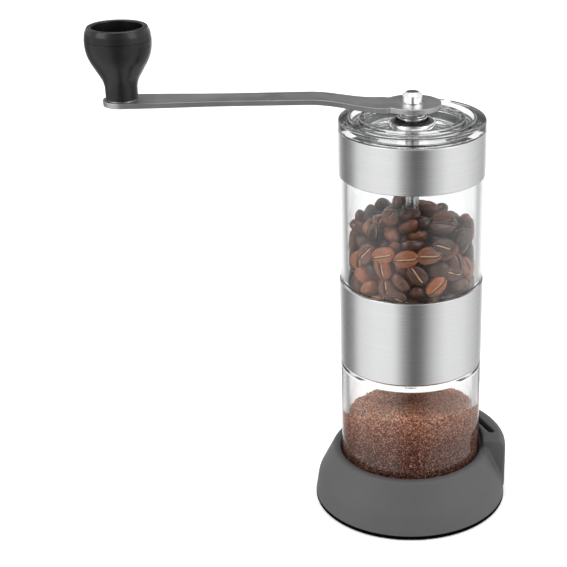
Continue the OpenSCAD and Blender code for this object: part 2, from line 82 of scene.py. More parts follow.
FOOT_R = high("silicone_base").x
FOOT_TOP = 24.6 * MM
FOOT_SHADOW_HEIGHT = 2.2 * MM  # height of the painted contact shadow, a black band round the foot's underside
BOSS_TOP = high("silicone_base").z
JAR_R = high("grounds_jar").x
JAR_BOTTOM = low("grounds_jar").z
JAR_MOUTH = high("grounds_jar").z
JAR_WALL = 3 * MM
BAND_R = high("middle_band").x
MIDDLE_BOTTOM = low("middle_band").z
MIDDLE_TOP = high("middle_band").z
UPPER_BOTTOM = low("upper_band").z
UPPER_TOP = high("upper_band").z
HOPPER_R = high("hopper").x
HOPPER_BOTTOM = low("hopper").z
HOPPER_INNER_R = 27.6 * MM
LID_R = high("lid").x
LID_BOTTOM = low("lid").z
LID_LIP_RISE = 0.5 * MM
LID_TOP = high("lid").z - LID_LIP_RISE
ARM_BOTTOM = low("crank_arm").z
ARM_TOP = high("crank_arm").z
KNOB_AXIS = (low("knob_upper") + high("knob_upper")) / 2
CRANK_YAW = math.atan2(-KNOB_AXIS.y, -KNOB_AXIS.x)
CRANK_REACH = math.hypot(KNOB_AXIS.x, KNOB_AXIS.y)
SHAFT_R = high("drive_shaft").x


# ---------------------------------------------------------------- mesh helpers

def corner(a, b, c, radius, steps):
    """Points of the arc that rounds the corner at b between a and c."""
    u, w = (a - b).normalized(), (c - b).normalized()
    half = math.acos(max(-1, min(1, u.dot(w)))) / 2
    centre = b + (u + w).normalized() * radius / math.sin(half)
    p = b + u * radius / math.tan(half) - centre
    q = b + w * radius / math.tan(half) - centre
    start = math.atan2(p.y, p.x)
    sweep = (math.atan2(q.y, q.x) - start + 3 * math.pi) % (2 * math.pi) - math.pi
    turns = [start + sweep * i / steps for i in range(steps + 1)]
    return [centre + radius * Vector((math.cos(t), math.sin(t))) for t in turns]


def rounded(points, steps=6):
    """Closed outline through (x, y, radius) points, each corner rounded by its radius."""
    flat = [Vector(p[:2]) for p in points]
    outline = []
    for i, (_, _, radius) in enumerate(points):
        if radius:
            outline += corner(flat[i - 1], flat[i], flat[(i + 1) % len(flat)], radius, steps)
        else:
            outline.append(flat[i])
    return outline


def new_object(name, data):
    obj = bpy.data.objects.new(name, data)
    bpy.context.scene.collection.objects.link(obj)
    return obj


def faces_outward(mesh, weld=0.0):
    """Turns the mesh's faces outward, once points closer than weld are one."""
    bm = bmesh.new()
    bm.from_mesh(mesh)
    if weld:
        bmesh.ops.remove_doubles(bm, verts=bm.verts, dist=weld)
    bmesh.ops.recalc_face_normals(bm, faces=bm.faces)
    bm.to_mesh(mesh)
    bm.free()


def solid(name, verts, faces):
    """Object of a closed mesh."""
    mesh = bpy.data.meshes.new(name)
    mesh.from_pydata(verts, [], faces)
    faces_outward(mesh)
    return new_object(name, mesh)


def circle(count):
    """Angles of count even steps round a circle."""
    return [2 * math.pi * i / count for i in range(count)]


def smooth(mesh, angle=35):
    """Smooth shading with edges sharper than the angle kept sharp."""
    mesh.polygons.foreach_set("use_smooth", [True] * len(mesh.polygons))
    mesh.set_sharp_from_angle(angle=math.radians(angle))
    mesh.update()


def turned(name, outline, steps=FINE, reach=None, angle=35):
    """Solid of revolution of a closed (r, z) outline in metres. reach(turn, r, z) may move r."""
    mesh = bpy.data.meshes.new(name)
    bm = bmesh.new()
    rings = []
    for r, z in outline:
        if r == 0:
            rings.append([bm.verts.new((0, 0, z))])
            continue
        ring = []
        for turn in circle(steps):
            far = reach(turn, r, z) if reach else r
            ring.append(bm.verts.new((far * math.cos(turn), far * math.sin(turn), z)))
        rings.append(ring)
    for k, ring in enumerate(rings):
        other = rings[(k + 1) % len(rings)]
        if len(ring) == 1 and len(other) == 1:
            continue
        for i in range(steps):
            j = (i + 1) % steps
            low_side = [ring[i % len(ring)], ring[j % len(ring)]]
            high_side = [other[j % len(other)], other[i % len(other)]]
            bm.faces.new(list(dict.fromkeys(low_side + high_side)))
    bmesh.ops.recalc_face_normals(bm, faces=bm.faces)
    bm.to_mesh(mesh)
    bm.free()
    smooth(mesh, angle)
    return new_object(name, mesh)


def apply_modifiers(obj):
    """Bakes the object's modifiers into its mesh."""
    graph = bpy.context.evaluated_depsgraph_get()
    mesh = bpy.data.meshes.new_from_object(obj.evaluated_get(graph))
    obj.modifiers.clear()
    obj.data = mesh


def combine(obj, other, operation="DIFFERENCE"):
    """Cuts obj by the other object, or joins them, and removes the other."""
    modifier = obj.modifiers.new("combine", "BOOLEAN")
    modifier.operation = operation
    modifier.solver = "EXACT"
    modifier.object = other
    bpy.context.view_layer.update()
    apply_modifiers(obj)
    bpy.data.objects.remove(other)


# ---------------------------------------------------------------- materials

class Graph:
    """A node tree with short calls for what the materials and the surround share."""

    def __init__(self, tree):
        self.tree = tree

    def add(self, kind, **values):
        made = self.tree.nodes.new(kind)
        for key, value in values.items():
            setattr(made, key, value)
        return made

    def link(self, a, b):
        self.tree.links.new(a, b)

    def axes(self, kind="Object"):
        """X, Y and Z outputs of one kind of texture coordinates."""
        source = self.add("ShaderNodeTexCoord")
        split = self.add("ShaderNodeSeparateXYZ")
        self.link(source.outputs[kind], split.inputs[0])
        return split.outputs

    def ramp(self, fac, stops):
        """Colour ramp through (place, colour or grey level) stops."""
        made = self.add("ShaderNodeValToRGB")
        elements = made.color_ramp.elements
        while len(elements) < len(stops):
            elements.new(0.5)
        for element, (place, colour) in zip(elements, stops):
            element.position = place
            element.color = (*colour, 1) if isinstance(colour, tuple) else (colour, colour, colour, 1)
        self.link(fac, made.inputs["Fac"])
        return made.outputs["Color"]

    def spread(self, fac, low_value, high_value, start=0.3, end=0.7):
        """Values from low_value to high_value as fac goes from start to end."""
        made = self.add("ShaderNodeMapRange")
        made.inputs["From Min"].default_value = start
        made.inputs["From Max"].default_value = end
        made.inputs["To Min"].default_value = low_value
        made.inputs["To Max"].default_value = high_value
        self.link(fac, made.inputs["Value"])
        return made.outputs["Result"]

    def math(self, operation, a, b=0.0):
        made = self.add("ShaderNodeMath", operation=operation)
        for socket, value in zip(made.inputs, (a, b)):
            if isinstance(value, (int, float)):
                socket.default_value = value
            else:
                self.link(value, socket)
        return made.outputs["Value"]

    def mix(self, fac, a, b, blend="MIX"):
        """Mix of two colours. Sockets 0, 6 and 7 are the factor and the colours, output 2 is the colour."""
        made = self.add("ShaderNodeMix", data_type="RGBA", blend_type=blend)
        for key, value in ((0, fac), (6, a), (7, b)):
            if isinstance(value, (int, float)):
                made.inputs[key].default_value = value
            elif isinstance(value, tuple):
                made.inputs[key].default_value = (*value, 1)
            else:
                self.link(value, made.inputs[key])
        return made.outputs[2]


class Nodes(Graph):
    """A material's node tree."""

    def __init__(self, name):
        self.material = bpy.data.materials.new(name)
        self.material.use_nodes = True
        super().__init__(self.material.node_tree)
        self.shader = self.tree.nodes["Principled BSDF"]
        self.output = self.tree.nodes["Material Output"]

    def set(self, **values):
        for key, value in values.items():
            self.shader.inputs[key.replace("_", " ")].default_value = value

    def coords(self, scale):
        """Object coordinates, in millimetres times scale."""
        source = self.add("ShaderNodeTexCoord")
        mapping = self.add("ShaderNodeMapping")
        mapping.inputs["Scale"].default_value = [s / MM for s in scale]
        self.link(source.outputs["Object"], mapping.inputs["Vector"])
        return mapping.outputs["Vector"]

    def noise(self, scale, detail=3.0, roughness=0.55):
        texture = self.add("ShaderNodeTexNoise")
        texture.inputs["Scale"].default_value = 1
        texture.inputs["Detail"].default_value = detail
        texture.inputs["Roughness"].default_value = roughness
        self.link(self.coords(scale), texture.inputs["Vector"])
        return texture.outputs["Fac"]

    def attribute(self, name):
        """Value stored at the mesh's points."""
        return self.add("ShaderNodeAttribute", attribute_name=name).outputs["Fac"]

    def bump(self, height, distance, strength=1.0, below=None):
        """Relief whose height is distance, in millimetres, over the relief below it."""
        made = self.add("ShaderNodeBump")
        made.inputs["Distance"].default_value = distance * MM
        made.inputs["Strength"].default_value = strength
        self.link(height, made.inputs["Height"])
        if below:
            self.link(below, made.inputs["Normal"])
        return made.outputs["Normal"]

    def into(self, socket, value):
        self.link(value, self.shader.inputs[socket])


def brushed_band():
    """Stainless sleeve brushed round the body, with a rough inner face that carries painted shade: a dark
    grey standing in for the shade inside the body.
    """
    half_wall = 0.35 * MM
    n = Nodes("brushed_band")
    axes = n.axes()
    squares = [n.math("POWER", axes[axis], 2) for axis in ("X", "Y")]
    reach = n.math("SQRT", n.math("ADD", *squares))
    outside = n.math("GREATER_THAN", reach, BAND_R - half_wall)
    streaks = n.noise((0.02, 0.02, 9), 4, 0.7)
    fine = n.noise((0.09, 0.09, 30), 2, 0.6)
    clouds = n.noise((0.05, 0.05, 0.08), 2)
    lines = n.math("ADD", n.math("MULTIPLY", streaks, 0.6), n.math("MULTIPLY", fine, 0.4))
    shine = n.ramp(lines, [(0.35, (0.66, 0.665, 0.67)), (0.65, (0.76, 0.76, 0.765))])
    # painted shade: the inner face is dark grey to stand in for the shade inside the body
    painted_inner_shade = n.ramp(clouds, [(0.3, (0.15, 0.15, 0.155)), (0.7, (0.2, 0.2, 0.2))])
    n.into("Base Color", n.mix(outside, painted_inner_shade, shine))
    rough = n.math("ADD", n.spread(lines, 0.2, 0.3), n.spread(clouds, -0.02, 0.03))
    n.into("Roughness", n.math("MAXIMUM", rough, n.math("SUBTRACT", 0.6, outside)))
    n.into("Normal", n.bump(lines, 0.006, 0.5))
    n.set(Metallic=1.0, Anisotropic=0.65, Anisotropic_Rotation=0.25)
    tangent = n.add("ShaderNodeTangent", direction_type="RADIAL", axis="Z")
    n.into("Tangent", tangent.outputs["Tangent"])
    return n.material


def satin_steel(name, colour, rough, scale):
    """Blasted or drawn steel with fine streaks along one axis of the object."""
    n = Nodes(name)
    streaks = n.noise(scale, 4, 0.7)
    grain = n.noise((6, 6, 6), 2)
    wear = n.noise((0.12, 0.12, 0.12), 3)
    dark = tuple(c * 0.86 for c in colour)
    n.into("Base Color", n.ramp(streaks, [(0.3, dark), (0.7, colour)]))
    gloss = n.spread(grain, rough - 0.04, rough + 0.05)
    n.into("Roughness", n.math("ADD", gloss, n.spread(wear, -0.04, 0.04)))
    n.into("Normal", n.bump(streaks, 0.01, 0.5, n.bump(grain, 0.004, 0.4)))
    n.set(Metallic=1.0, Anisotropic=0.3)
    return n.material


def chrome():
    """Polished plating with a slight haze."""
    n = Nodes("chrome")
    haze = n.noise((0.5, 0.5, 0.5), 3)
    n.into("Base Color", n.ramp(haze, [(0.3, (0.8, 0.8, 0.81)), (0.7, (0.88, 0.88, 0.885))]))
    n.into("Roughness", n.spread(haze, 0.05, 0.13))
    n.into("Normal", n.bump(n.noise((4, 4, 4), 2), 0.002, 0.3))
    n.set(Metallic=1.0)
    return n.material


def clear_plastic():
    """Polished clear plastic. Lamps and bounced light pass it so that what is behind it is lit."""
    n = Nodes("clear_plastic")
    flow = n.noise((0.06, 0.06, 0.03), 2)
    n.into("Base Color", n.ramp(flow, [(0.3, (0.975, 0.985, 0.985)), (0.7, (0.99, 0.995, 0.995))]))
    n.into("Roughness", n.spread(n.noise((0.3, 0.3, 0.3), 3), 0.0, 0.02))
    n.into("Normal", n.bump(flow, 0.05, 0.15))
    n.set(IOR=1.46, Transmission_Weight=1.0)
    path = n.add("ShaderNodeLightPath")
    through = n.add("ShaderNodeBsdfTransparent")
    through.inputs["Color"].default_value = (0.95, 0.955, 0.955, 1)
    mix = n.add("ShaderNodeMixShader")
    n.link(n.math("MAXIMUM", path.outputs["Is Shadow Ray"], path.outputs["Is Diffuse Ray"]), mix.inputs[0])
    n.link(n.shader.outputs[0], mix.inputs[1])
    n.link(through.outputs[0], mix.inputs[2])
    n.link(mix.outputs[0], n.output.inputs["Surface"])
    return n.material


def silicone():
    """Soft matt silicone with a faint moulded grain and a little dust, and a painted contact shadow: black,
    with no reflection, at its underside.
    """
    n = Nodes("silicone")
    grain = n.noise((5, 5, 5), 3, 0.6)
    cloud = n.noise((0.05, 0.05, 0.05), 3)
    specks = n.ramp(n.noise((3.2, 3.2, 3.2), 1), [(0.66, 0.0), (0.72, 1.0)])
    body = n.ramp(cloud, [(0.3, (0.082, 0.082, 0.082)), (0.7, (0.092, 0.092, 0.092))])
    dusty = n.mix(n.math("MULTIPLY", specks, 0.1), body, (0.25, 0.25, 0.245))
    # painted contact shadow: below this height the foot is black
    underside = n.math("LESS_THAN", n.axes()["Z"], FOOT_SHADOW_HEIGHT)
    n.into("Base Color", n.mix(underside, dusty, (0.002, 0.002, 0.002)))
    # the painted contact shadow also has no reflection
    n.into("Specular IOR Level", n.math("SUBTRACT", 0.3, n.math("MULTIPLY", underside, 0.3)))
    n.into("Roughness", n.spread(cloud, 0.5, 0.6))
    n.into("Normal", n.bump(grain, 0.02, 0.5))
    return n.material


def moulded(name, colour, rough, grain_mm=0.012):
    """Moulded plastic with a fine spark-eroded grain and slow changes in gloss."""
    n = Nodes(name)
    grain = n.noise((7, 7, 7), 2)
    cloud = n.noise((0.15, 0.15, 0.15), 3)
    light = tuple(min(1, c * 1.25 + 0.004) for c in colour)
    n.into("Base Color", n.ramp(cloud, [(0.3, colour), (0.75, light)]))
    gloss = n.spread(cloud, rough - 0.04, rough + 0.05)
    n.into("Roughness", n.math("ADD", gloss, n.spread(grain, -0.02, 0.02)))
    n.into("Normal", n.bump(grain, grain_mm, 0.5))
    n.set(Specular_IOR_Level=0.35)
    return n.material


def ceramic():
    """Ground white ceramic with fine specks."""
    n = Nodes("ceramic")
    speck = n.noise((2.5, 2.5, 2.5), 4)
    n.into("Base Color", n.ramp(speck, [(0.3, (0.78, 0.765, 0.72)), (0.6, (0.88, 0.87, 0.83))]))
    n.into("Roughness", n.spread(speck, 0.28, 0.4))
    n.into("Normal", n.bump(speck, 0.02, 0.4))
    return n.material


def bean_skin():
    """Roasted bean: brown skin that varies from bean to bean, with pale chaff in the crease and painted shade
    darkening the crease's sides.
    """
    n = Nodes("bean_skin")
    crease = n.attribute("crease")
    mottle = n.noise((0.55, 0.55, 0.55), 4, 0.6)
    fibre = n.noise((1.6, 1.6, 1.6), 4, 0.65)
    skin = n.ramp(n.attribute("tone"), [
        (0.0, (0.026, 0.009, 0.006)),
        (0.35, (0.07, 0.022, 0.011)),
        (0.7, (0.15, 0.048, 0.02)),
        (1.0, (0.32, 0.09, 0.025)),
    ])
    shade = n.ramp(mottle, [(0.25, 0.55), (0.75, 1.25)])
    mottled = n.mix(1, skin, shade, "MULTIPLY")
    in_crease = n.ramp(crease, [(0.5, 0.0), (0.72, 1.0)])
    chaff = n.math("MULTIPLY", in_crease, n.ramp(fibre, [(0.3, 0.35), (0.46, 1.0)]))
    # painted shade: the sides of the crease darken towards near black
    painted_crease_shade = n.mix(n.ramp(crease, [(0.1, 0.0), (0.4, 0.85)]), mottled, (0.01, 0.003, 0.002))
    n.into("Base Color", n.mix(chaff, painted_crease_shade, (0.85, 0.6, 0.38)))
    n.into("Roughness", n.spread(fibre, 0.16, 0.3))
    n.into("Normal", n.bump(fibre, 0.1, 0.5, n.bump(mottle, 0.25, 0.4)))
    n.set(Specular_IOR_Level=0.45)
    return n.material


def ground_coffee_skin():
    """Ground coffee: grains of several browns with some pale chaff, with painted light that makes the top
    surface and the top of the wall much lighter.
    """
    n = Nodes("ground_coffee")
    cells = n.add("ShaderNodeTexVoronoi")
    cells.inputs["Scale"].default_value = 1
    n.link(n.coords((2.3, 2.3, 2.3)), cells.inputs["Vector"])
    split = n.add("ShaderNodeSeparateColor")
    n.link(cells.outputs["Color"], split.inputs[0])
    fine = n.noise((1.1, 1.1, 1.1), 5, 0.75)
    value = n.math("ADD", n.math("MULTIPLY", split.outputs[0], 0.6), n.math("MULTIPLY", fine, 0.45))
    packed = n.ramp(value, [
        (0.2, (0.014, 0.005, 0.004)),
        (0.45, (0.055, 0.018, 0.012)),
        (0.68, (0.13, 0.047, 0.031)),
        (0.86, (0.38, 0.2, 0.13)),
    ])
    painted_lit_grains = n.ramp(value, [
        (0.18, (0.06, 0.014, 0.008)),
        (0.38, (0.5, 0.13, 0.06)),
        (0.6, (0.9, 0.34, 0.19)),
        (0.8, (1.0, 0.78, 0.56)),
    ])
    # painted light: the top surface, and the top of the wall, take the much lighter ramp that stands in for
    # light falling on the top
    n.into("Base Color", n.mix(n.attribute("painted_top_light"), packed, painted_lit_grains))
    n.into("Roughness", n.spread(fine, 0.7, 0.9))
    crumbs = n.math("ADD", n.math("MULTIPLY", cells.outputs["Distance"], -0.6), fine)
    n.into("Normal", n.bump(crumbs, 0.5, 0.8))
    n.set(Specular_IOR_Level=0.06)
    return n.material


MATERIALS = {
    "steel": brushed_band(),
    "satin_steel": satin_steel("arm_steel", (0.47, 0.47, 0.475), 0.36, (0.05, 2.2, 2.2)),
    "machined_steel": satin_steel("machined_steel", (0.58, 0.58, 0.59), 0.26, (0.1, 0.1, 6)),
    "chrome": chrome(),
    "clear_body": clear_plastic(),
    "silicone": silicone(),
    "black_plastic": moulded("black_plastic", (0.016, 0.016, 0.017), 0.4),
    "knob_plastic": moulded("knob_plastic", (0.005, 0.005, 0.0055), 0.24),
    "seal_rubber": moulded("seal_rubber", (0.02, 0.02, 0.02), 0.62, 0.02),
    "ceramic": ceramic(),
    "brass": satin_steel("brass", (0.72, 0.5, 0.22), 0.24, (0.1, 0.1, 5)),
}


def finish_node(name, slot):
    """Gives a CAD node its material."""
    node = NODES[name]
    node.data.materials.clear()
    node.data.materials.append(MATERIALS[slot])


def finish_piece(piece, body, slot, *nodes):
    """Gives a new piece its material and body, in place of the named CAD nodes."""
    piece.data.materials.clear()
    piece.data.materials.append(MATERIALS[slot])
    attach(piece, body)
    if nodes:
        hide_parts(*nodes)


# ---------------------------------------------------------------- clear pieces

RIBS = 5
RIB_HALF_W = 1.2 * MM
RIB_DEPTH = 0.9 * MM


def hopper():
    """Clear tube with shallow ribs inside, a spigot below and a seat for the upper band."""
    rib_low = MIDDLE_BOTTOM + 35 * MM
    rib_high = UPPER_BOTTOM - 4 * MM
    rib_end = 0.05 * MM
    spigot_r = 29 * MM
    seat_r = BAND_R - 0.75 * MM
    step_low = MIDDLE_TOP + 0.1 * MM
    step_high = UPPER_BOTTOM - 0.2 * MM
    edge = 0.3 * MM

    def ribbed(turn, r, z):
        on_inner_wall = abs(r - HOPPER_INNER_R) <= 0.01 * MM
        if not on_inner_wall or not rib_low <= z <= rib_high:
            return r
        step = 2 * math.pi / RIBS
        off = (turn - math.pi + step / 2) % step - step / 2
        return r - RIB_DEPTH if abs(off) * r < RIB_HALF_W else r

    outline = rounded([
        (HOPPER_INNER_R, HOPPER_BOTTOM, 0),
        (spigot_r, HOPPER_BOTTOM, edge),
        (spigot_r, step_low, 0),
        (HOPPER_R, step_low, 0),
        (HOPPER_R, step_high, 0),
        (seat_r, step_high, 0),
        (seat_r, UPPER_TOP, edge),
        (HOPPER_INNER_R, UPPER_TOP, edge),
        (HOPPER_INNER_R, rib_high + rib_end, 0),
        (HOPPER_INNER_R, rib_high, 0),
        (HOPPER_INNER_R, rib_low, 0),
        (HOPPER_INNER_R, rib_low - rib_end, 0),
    ])
    piece = turned("hopper_clear", outline, 360, ribbed)
    finish_piece(piece, "grinder", "clear_body", "hopper")


def thread_ridge(r, z):
    """Outline points of one low thread ridge that starts at height z on a neck of radius r."""
    height, half_w = 0.4 * MM, 0.5 * MM
    return [(r, z, 0), (r + height, z + half_w, 0.1 * MM), (r, z + 2 * half_w, 0)]


def grounds_jar():
    """Clear jar with rounded edges, a shoulder and a neck with three thread ridges."""
    shoulder = MIDDLE_BOTTOM - 0.3 * MM
    neck_r = 28 * MM
    neck_inner = 25.4 * MM
    ridge_low = shoulder + 2 * MM
    ridge_step = 2.6 * MM
    corner_r = 2.4 * MM
    edge = 0.5 * MM
    inner_r, inner_floor = JAR_R - JAR_WALL, JAR_BOTTOM + JAR_WALL
    cone_top, cone_bottom, cone_round = shoulder - 1 * MM, shoulder - 3.6 * MM, 1.5 * MM
    outline = rounded([
        (0, JAR_BOTTOM, 0),
        (JAR_R, JAR_BOTTOM, corner_r),
        (JAR_R, shoulder, edge),
        (neck_r, shoulder, 0),
        *thread_ridge(neck_r, ridge_low),
        *thread_ridge(neck_r, ridge_low + ridge_step),
        *thread_ridge(neck_r, ridge_low + 2 * ridge_step),
        (neck_r, JAR_MOUTH, edge),
        (neck_inner, JAR_MOUTH, edge),
        (neck_inner, cone_top, cone_round),
        (inner_r, cone_bottom, cone_round),
        (inner_r, inner_floor, corner_r),
        (0, inner_floor, 0),
    ], 8)
    piece = turned("jar_clear", outline)
    finish_piece(piece, "jar", "clear_body", "grounds_jar")


def lid():
    """Clear lid: a flat rim with a low lip, a groove, a raised ring and a sunken floor over a plug."""
    seat = UPPER_TOP + 0.3 * MM
    floor = seat - 1.3 * MM
    underside = floor - 2.2 * MM
    hole_r = 6.05 * MM
    plug_r = HOPPER_INNER_R - 0.4 * MM
    plug_inner = plug_r - 3 * MM
    seal_low, seal_high, seal_r = seat - 6.6 * MM, seat - 5 * MM, plug_r - 0.8 * MM
    lip_foot, lip_outer, lip_inner, lip_top = 26.8 * MM, 26.5 * MM, 25.7 * MM, LID_TOP + LID_LIP_RISE
    groove_outer, groove_inner, groove_low = 25.4 * MM, 22.5 * MM, LID_TOP - 2.4 * MM
    ring_outer, ring_inner, ring_top = 22.3 * MM, 19.8 * MM, LID_TOP + 0.3 * MM
    well_r = 19.3 * MM
    outline = rounded([
        (hole_r, underside, 0),
        (plug_inner, underside, 0.8 * MM),
        (plug_inner, LID_BOTTOM, 0.5 * MM),
        (plug_r, LID_BOTTOM, 0.5 * MM),
        (plug_r, seal_low, 0),
        (seal_r, seal_low, 0),
        (seal_r, seal_high, 0),
        (plug_r, seal_high, 0),
        (plug_r, seat, 0.3 * MM),
        (LID_R, seat, 0.5 * MM),
        (LID_R, LID_TOP, 0.9 * MM),
        (lip_foot, LID_TOP, 0.3 * MM),
        (lip_outer, lip_top, 0.2 * MM),
        (lip_inner, lip_top, 0.2 * MM),
        (groove_outer, groove_low, 0.7 * MM),
        (groove_inner, groove_low, 0.7 * MM),
        (ring_outer, ring_top, 0.6 * MM),
        (ring_inner, ring_top, 0.6 * MM),
        (well_r, floor, 1 * MM),
        (hole_r, floor, 0),
    ], 8)
    piece = turned("lid_clear", outline)
    finish_piece(piece, "lid", "clear_body", "lid")


# ---------------------------------------------------------------- foot

BOSS_AZIMUTH = math.radians(25)
BOSS_HALF_SWEEP = math.radians(34)
SLOT_W = 2.7 * MM
SLOT_L = 27 * MM
SLOT_FROM_AXIS = 35.4 * MM
SLOT_DEPTH = 21 * MM


def arc_block(name, outline, first, last):
    """Closed (r, z) outline swept from one azimuth to another."""
    steps = 48
    count = len(outline)
    verts, faces = [], []
    for i in range(steps + 1):
        turn = first + (last - first) * i / steps
        verts += [(r * math.cos(turn), r * math.sin(turn), z) for r, z in outline]
    for i in range(steps):
        for k in range(count):
            m = (k + 1) % count
            faces.append((i * count + k, i * count + m, (i + 1) * count + m, (i + 1) * count + k))
    faces.append(tuple(reversed(range(count))))
    faces.append(tuple(range(steps * count, (steps + 1) * count)))
    return solid(name, verts, faces)


def slot_cutter():
    """Upright slot with round ends, in the middle of the storage boss."""
    half = SLOT_L / 2 - SLOT_W / 2
    steps = 8
    ends = []
    for side in (1, -1):
        turns = [math.pi * i / steps for i in range(steps + 1)]
        ends += [(side * SLOT_W / 2 * math.cos(t), side * (half + SLOT_W / 2 * math.sin(t))) for t in turns]
    mesh = bpy.data.meshes.new("slot_cutter")
    heights = (BOSS_TOP - SLOT_DEPTH, BOSS_TOP + 5 * MM)
    verts = [(x + SLOT_FROM_AXIS, y, z) for z in heights for x, y in ends]
    n = len(ends)
    faces = [(i, (i + 1) % n, n + (i + 1) % n, n + i) for i in range(n)]
    faces += [tuple(reversed(range(n))), tuple(range(n, 2 * n))]
    mesh.from_pydata(verts, [], faces)
    mesh.transform(Matrix.Rotation(BOSS_AZIMUTH, 4, "Z"))
    return new_object("slot_cutter", mesh)


def silicone_foot():
    """Soft foot: flared skirt, rolled lip and the boss whose slot stores the crank, all blended."""
    socket_r = JAR_R + 0.4 * MM
    socket_floor = 4 * MM
    skirt_r, skirt_top = FOOT_R - 1.65 * MM, FOOT_TOP - 13.8 * MM
    lip_r = FOOT_R - 8.5 * MM
    boss_inner, boss_outer, boss_low = socket_r + 1.4 * MM, FOOT_R - 0.1 * MM, 6 * MM
    body = turned("foot_soft", rounded([
        (0, 0, 0),
        (FOOT_R, 0, 0.8 * MM),
        (skirt_r, skirt_top, 8 * MM),
        (lip_r, FOOT_TOP, 1.7 * MM),
        (socket_r, FOOT_TOP, 1 * MM),
        (socket_r, socket_floor, 0),
        (0, socket_floor, 0),
    ], 8), 192)
    boss = arc_block("boss", rounded([
        (boss_inner, boss_low, 0),
        (boss_outer, boss_low, 0),
        (boss_outer, BOSS_TOP, 3.6 * MM),
        (boss_inner, BOSS_TOP, 0.8 * MM),
    ], 8), BOSS_AZIMUTH - BOSS_HALF_SWEEP, BOSS_AZIMUTH + BOSS_HALF_SWEEP)
    combine(body, boss, "UNION")
    combine(body, slot_cutter())
    voxels = body.modifiers.new("voxels", "REMESH")
    voxels.mode = "VOXEL"
    voxels.voxel_size = 0.62 * MM
    soften = body.modifiers.new("soften", "SMOOTH")
    soften.factor = 0.5
    soften.iterations = 5
    apply_modifiers(body)
    smooth(body.data, 180)
    finish_piece(body, "foot", "silicone", "silicone_base")


# ---------------------------------------------------------------- crank

HUB_R = 12 * MM
TIP_HALF_W = 7.75 * MM
CRANK_T = 2.2 * MM
RISE_START = -12 * MM
RISE_END = -43 * MM
ARM_SIDE = [  # (distance from the shaft, half width) along the arm
    (0, 4 * MM),
    (12 * MM, 9 * MM),
    (20 * MM, 7.8 * MM),
    (30 * MM, 6.8 * MM),
    (42 * MM, 6.5 * MM),
    (60 * MM, 6.3 * MM),
    (74 * MM, 6.15 * MM),
    (86 * MM, 6.4 * MM),
    (100 * MM, 7.2 * MM),
    (CRANK_REACH, TIP_HALF_W),
]


def crank_half_width(x):
    """Half the crank's width at x, from the round hub over the slim arm to the round tip."""
    hub = math.sqrt(max(0, HUB_R ** 2 - x ** 2))
    tip = math.sqrt(max(0, TIP_HALF_W ** 2 - (x + CRANK_REACH) ** 2))
    places, widths = zip(*ARM_SIDE)
    side = float(np.interp(-x, places, widths)) if -CRANK_REACH < x < 0 else 0
    return max(hub, side, tip)


def crank_rise(x):
    """Height that the strip has risen at x."""
    share = min(1, max(0, (x - RISE_START) / (RISE_END - RISE_START)))
    return (ARM_TOP - ARM_BOTTOM - CRANK_T) * (1 - math.cos(math.pi * share)) / 2


def rod(name, radius, z0, z1):
    return turned(name, [(0, z0), (radius, z0), (radius, z1), (0, z1)], 48)


def cap_nut():
    """Hexagon cap nut with blunt corners and a tapered end over its blind hole."""
    bottom, top = low("cap_nut").z, high("cap_nut").z
    corner_r = high("cap_nut").y
    flat_r = corner_r * math.cos(math.pi / 6)
    blunt = corner_r - 0.24 * MM
    edge = 0.3 * MM
    taper_low = top - 1.4 * MM
    hole_r = 2.6 * MM
    hole_top = high("drive_shaft").z + 0.1 * MM

    def hexagon(turn, r, z):
        off = (turn + math.pi / 6) % (math.pi / 3) - math.pi / 6
        return min(r, flat_r / math.cos(off))

    piece = turned("nut_chrome", rounded([
        (hole_r, bottom, 0),
        (blunt - edge, bottom, 0),
        (blunt, bottom + edge, 0),
        (blunt, taper_low, 0.8 * MM),
        (hole_r, top, 0.6 * MM),
        (0, top, 0),
        (0, hole_top, 0),
        (hole_r, hole_top, 0),
    ]), 96, hexagon, 20)
    finish_piece(piece, "nut", "chrome", "cap_nut")


def crank_stations():
    """Places along the crank, close together round both ends."""
    ends, middle = 24, 150
    places = [HUB_R * math.cos(math.pi / 2 * i / ends) for i in range(ends)]
    places += [-CRANK_REACH * i / middle for i in range(middle)]
    places += [-CRANK_REACH - TIP_HALF_W * math.sin(math.pi / 2 * i / ends) for i in range(ends + 1)]
    return places


def crank_arm():
    """Stamped steel strip with broken edges that steps up from its hub."""
    edge = 0.12 * MM
    least_half = 0.02 * MM
    shaft_hole_r = SHAFT_R + 0.1 * MM
    axle_hole_r = 2.55 * MM
    stations = crank_stations()
    verts, faces = [], []
    for x in stations:
        half = max(crank_half_width(x), least_half)
        bevel = min(edge, half * 0.5)
        z0 = ARM_BOTTOM + crank_rise(x)
        z1 = z0 + CRANK_T
        verts += [
            (x, -half, z0 + edge), (x, -half + bevel, z0), (x, half - bevel, z0), (x, half, z0 + edge),
            (x, half, z1 - edge), (x, half - bevel, z1), (x, -half + bevel, z1), (x, -half, z1 - edge),
        ]
    sides = 8  # corners of the strip's section
    last = sides * (len(stations) - 1)
    for start in range(0, last, sides):
        for k in range(sides):
            a, b = start + k, start + (k + 1) % sides
            faces.append((a, b, b + sides, a + sides))
    faces += [tuple(reversed(range(sides))), tuple(range(last, last + sides))]
    piece = solid("crank_strip", verts, faces)
    combine(piece, rod("shaft_hole", shaft_hole_r, ARM_BOTTOM - CRANK_T, ARM_BOTTOM + 2 * CRANK_T))
    axle = rod("axle_hole", axle_hole_r, ARM_BOTTOM, ARM_TOP + CRANK_T)
    axle.data.transform(Matrix.Translation((-CRANK_REACH, 0, 0)))
    combine(piece, axle)
    piece.data.transform(Matrix.Rotation(CRANK_YAW, 4, "Z"))
    smooth(piece.data, 30)
    finish_piece(piece, "crank", "satin_steel", "crank_arm")


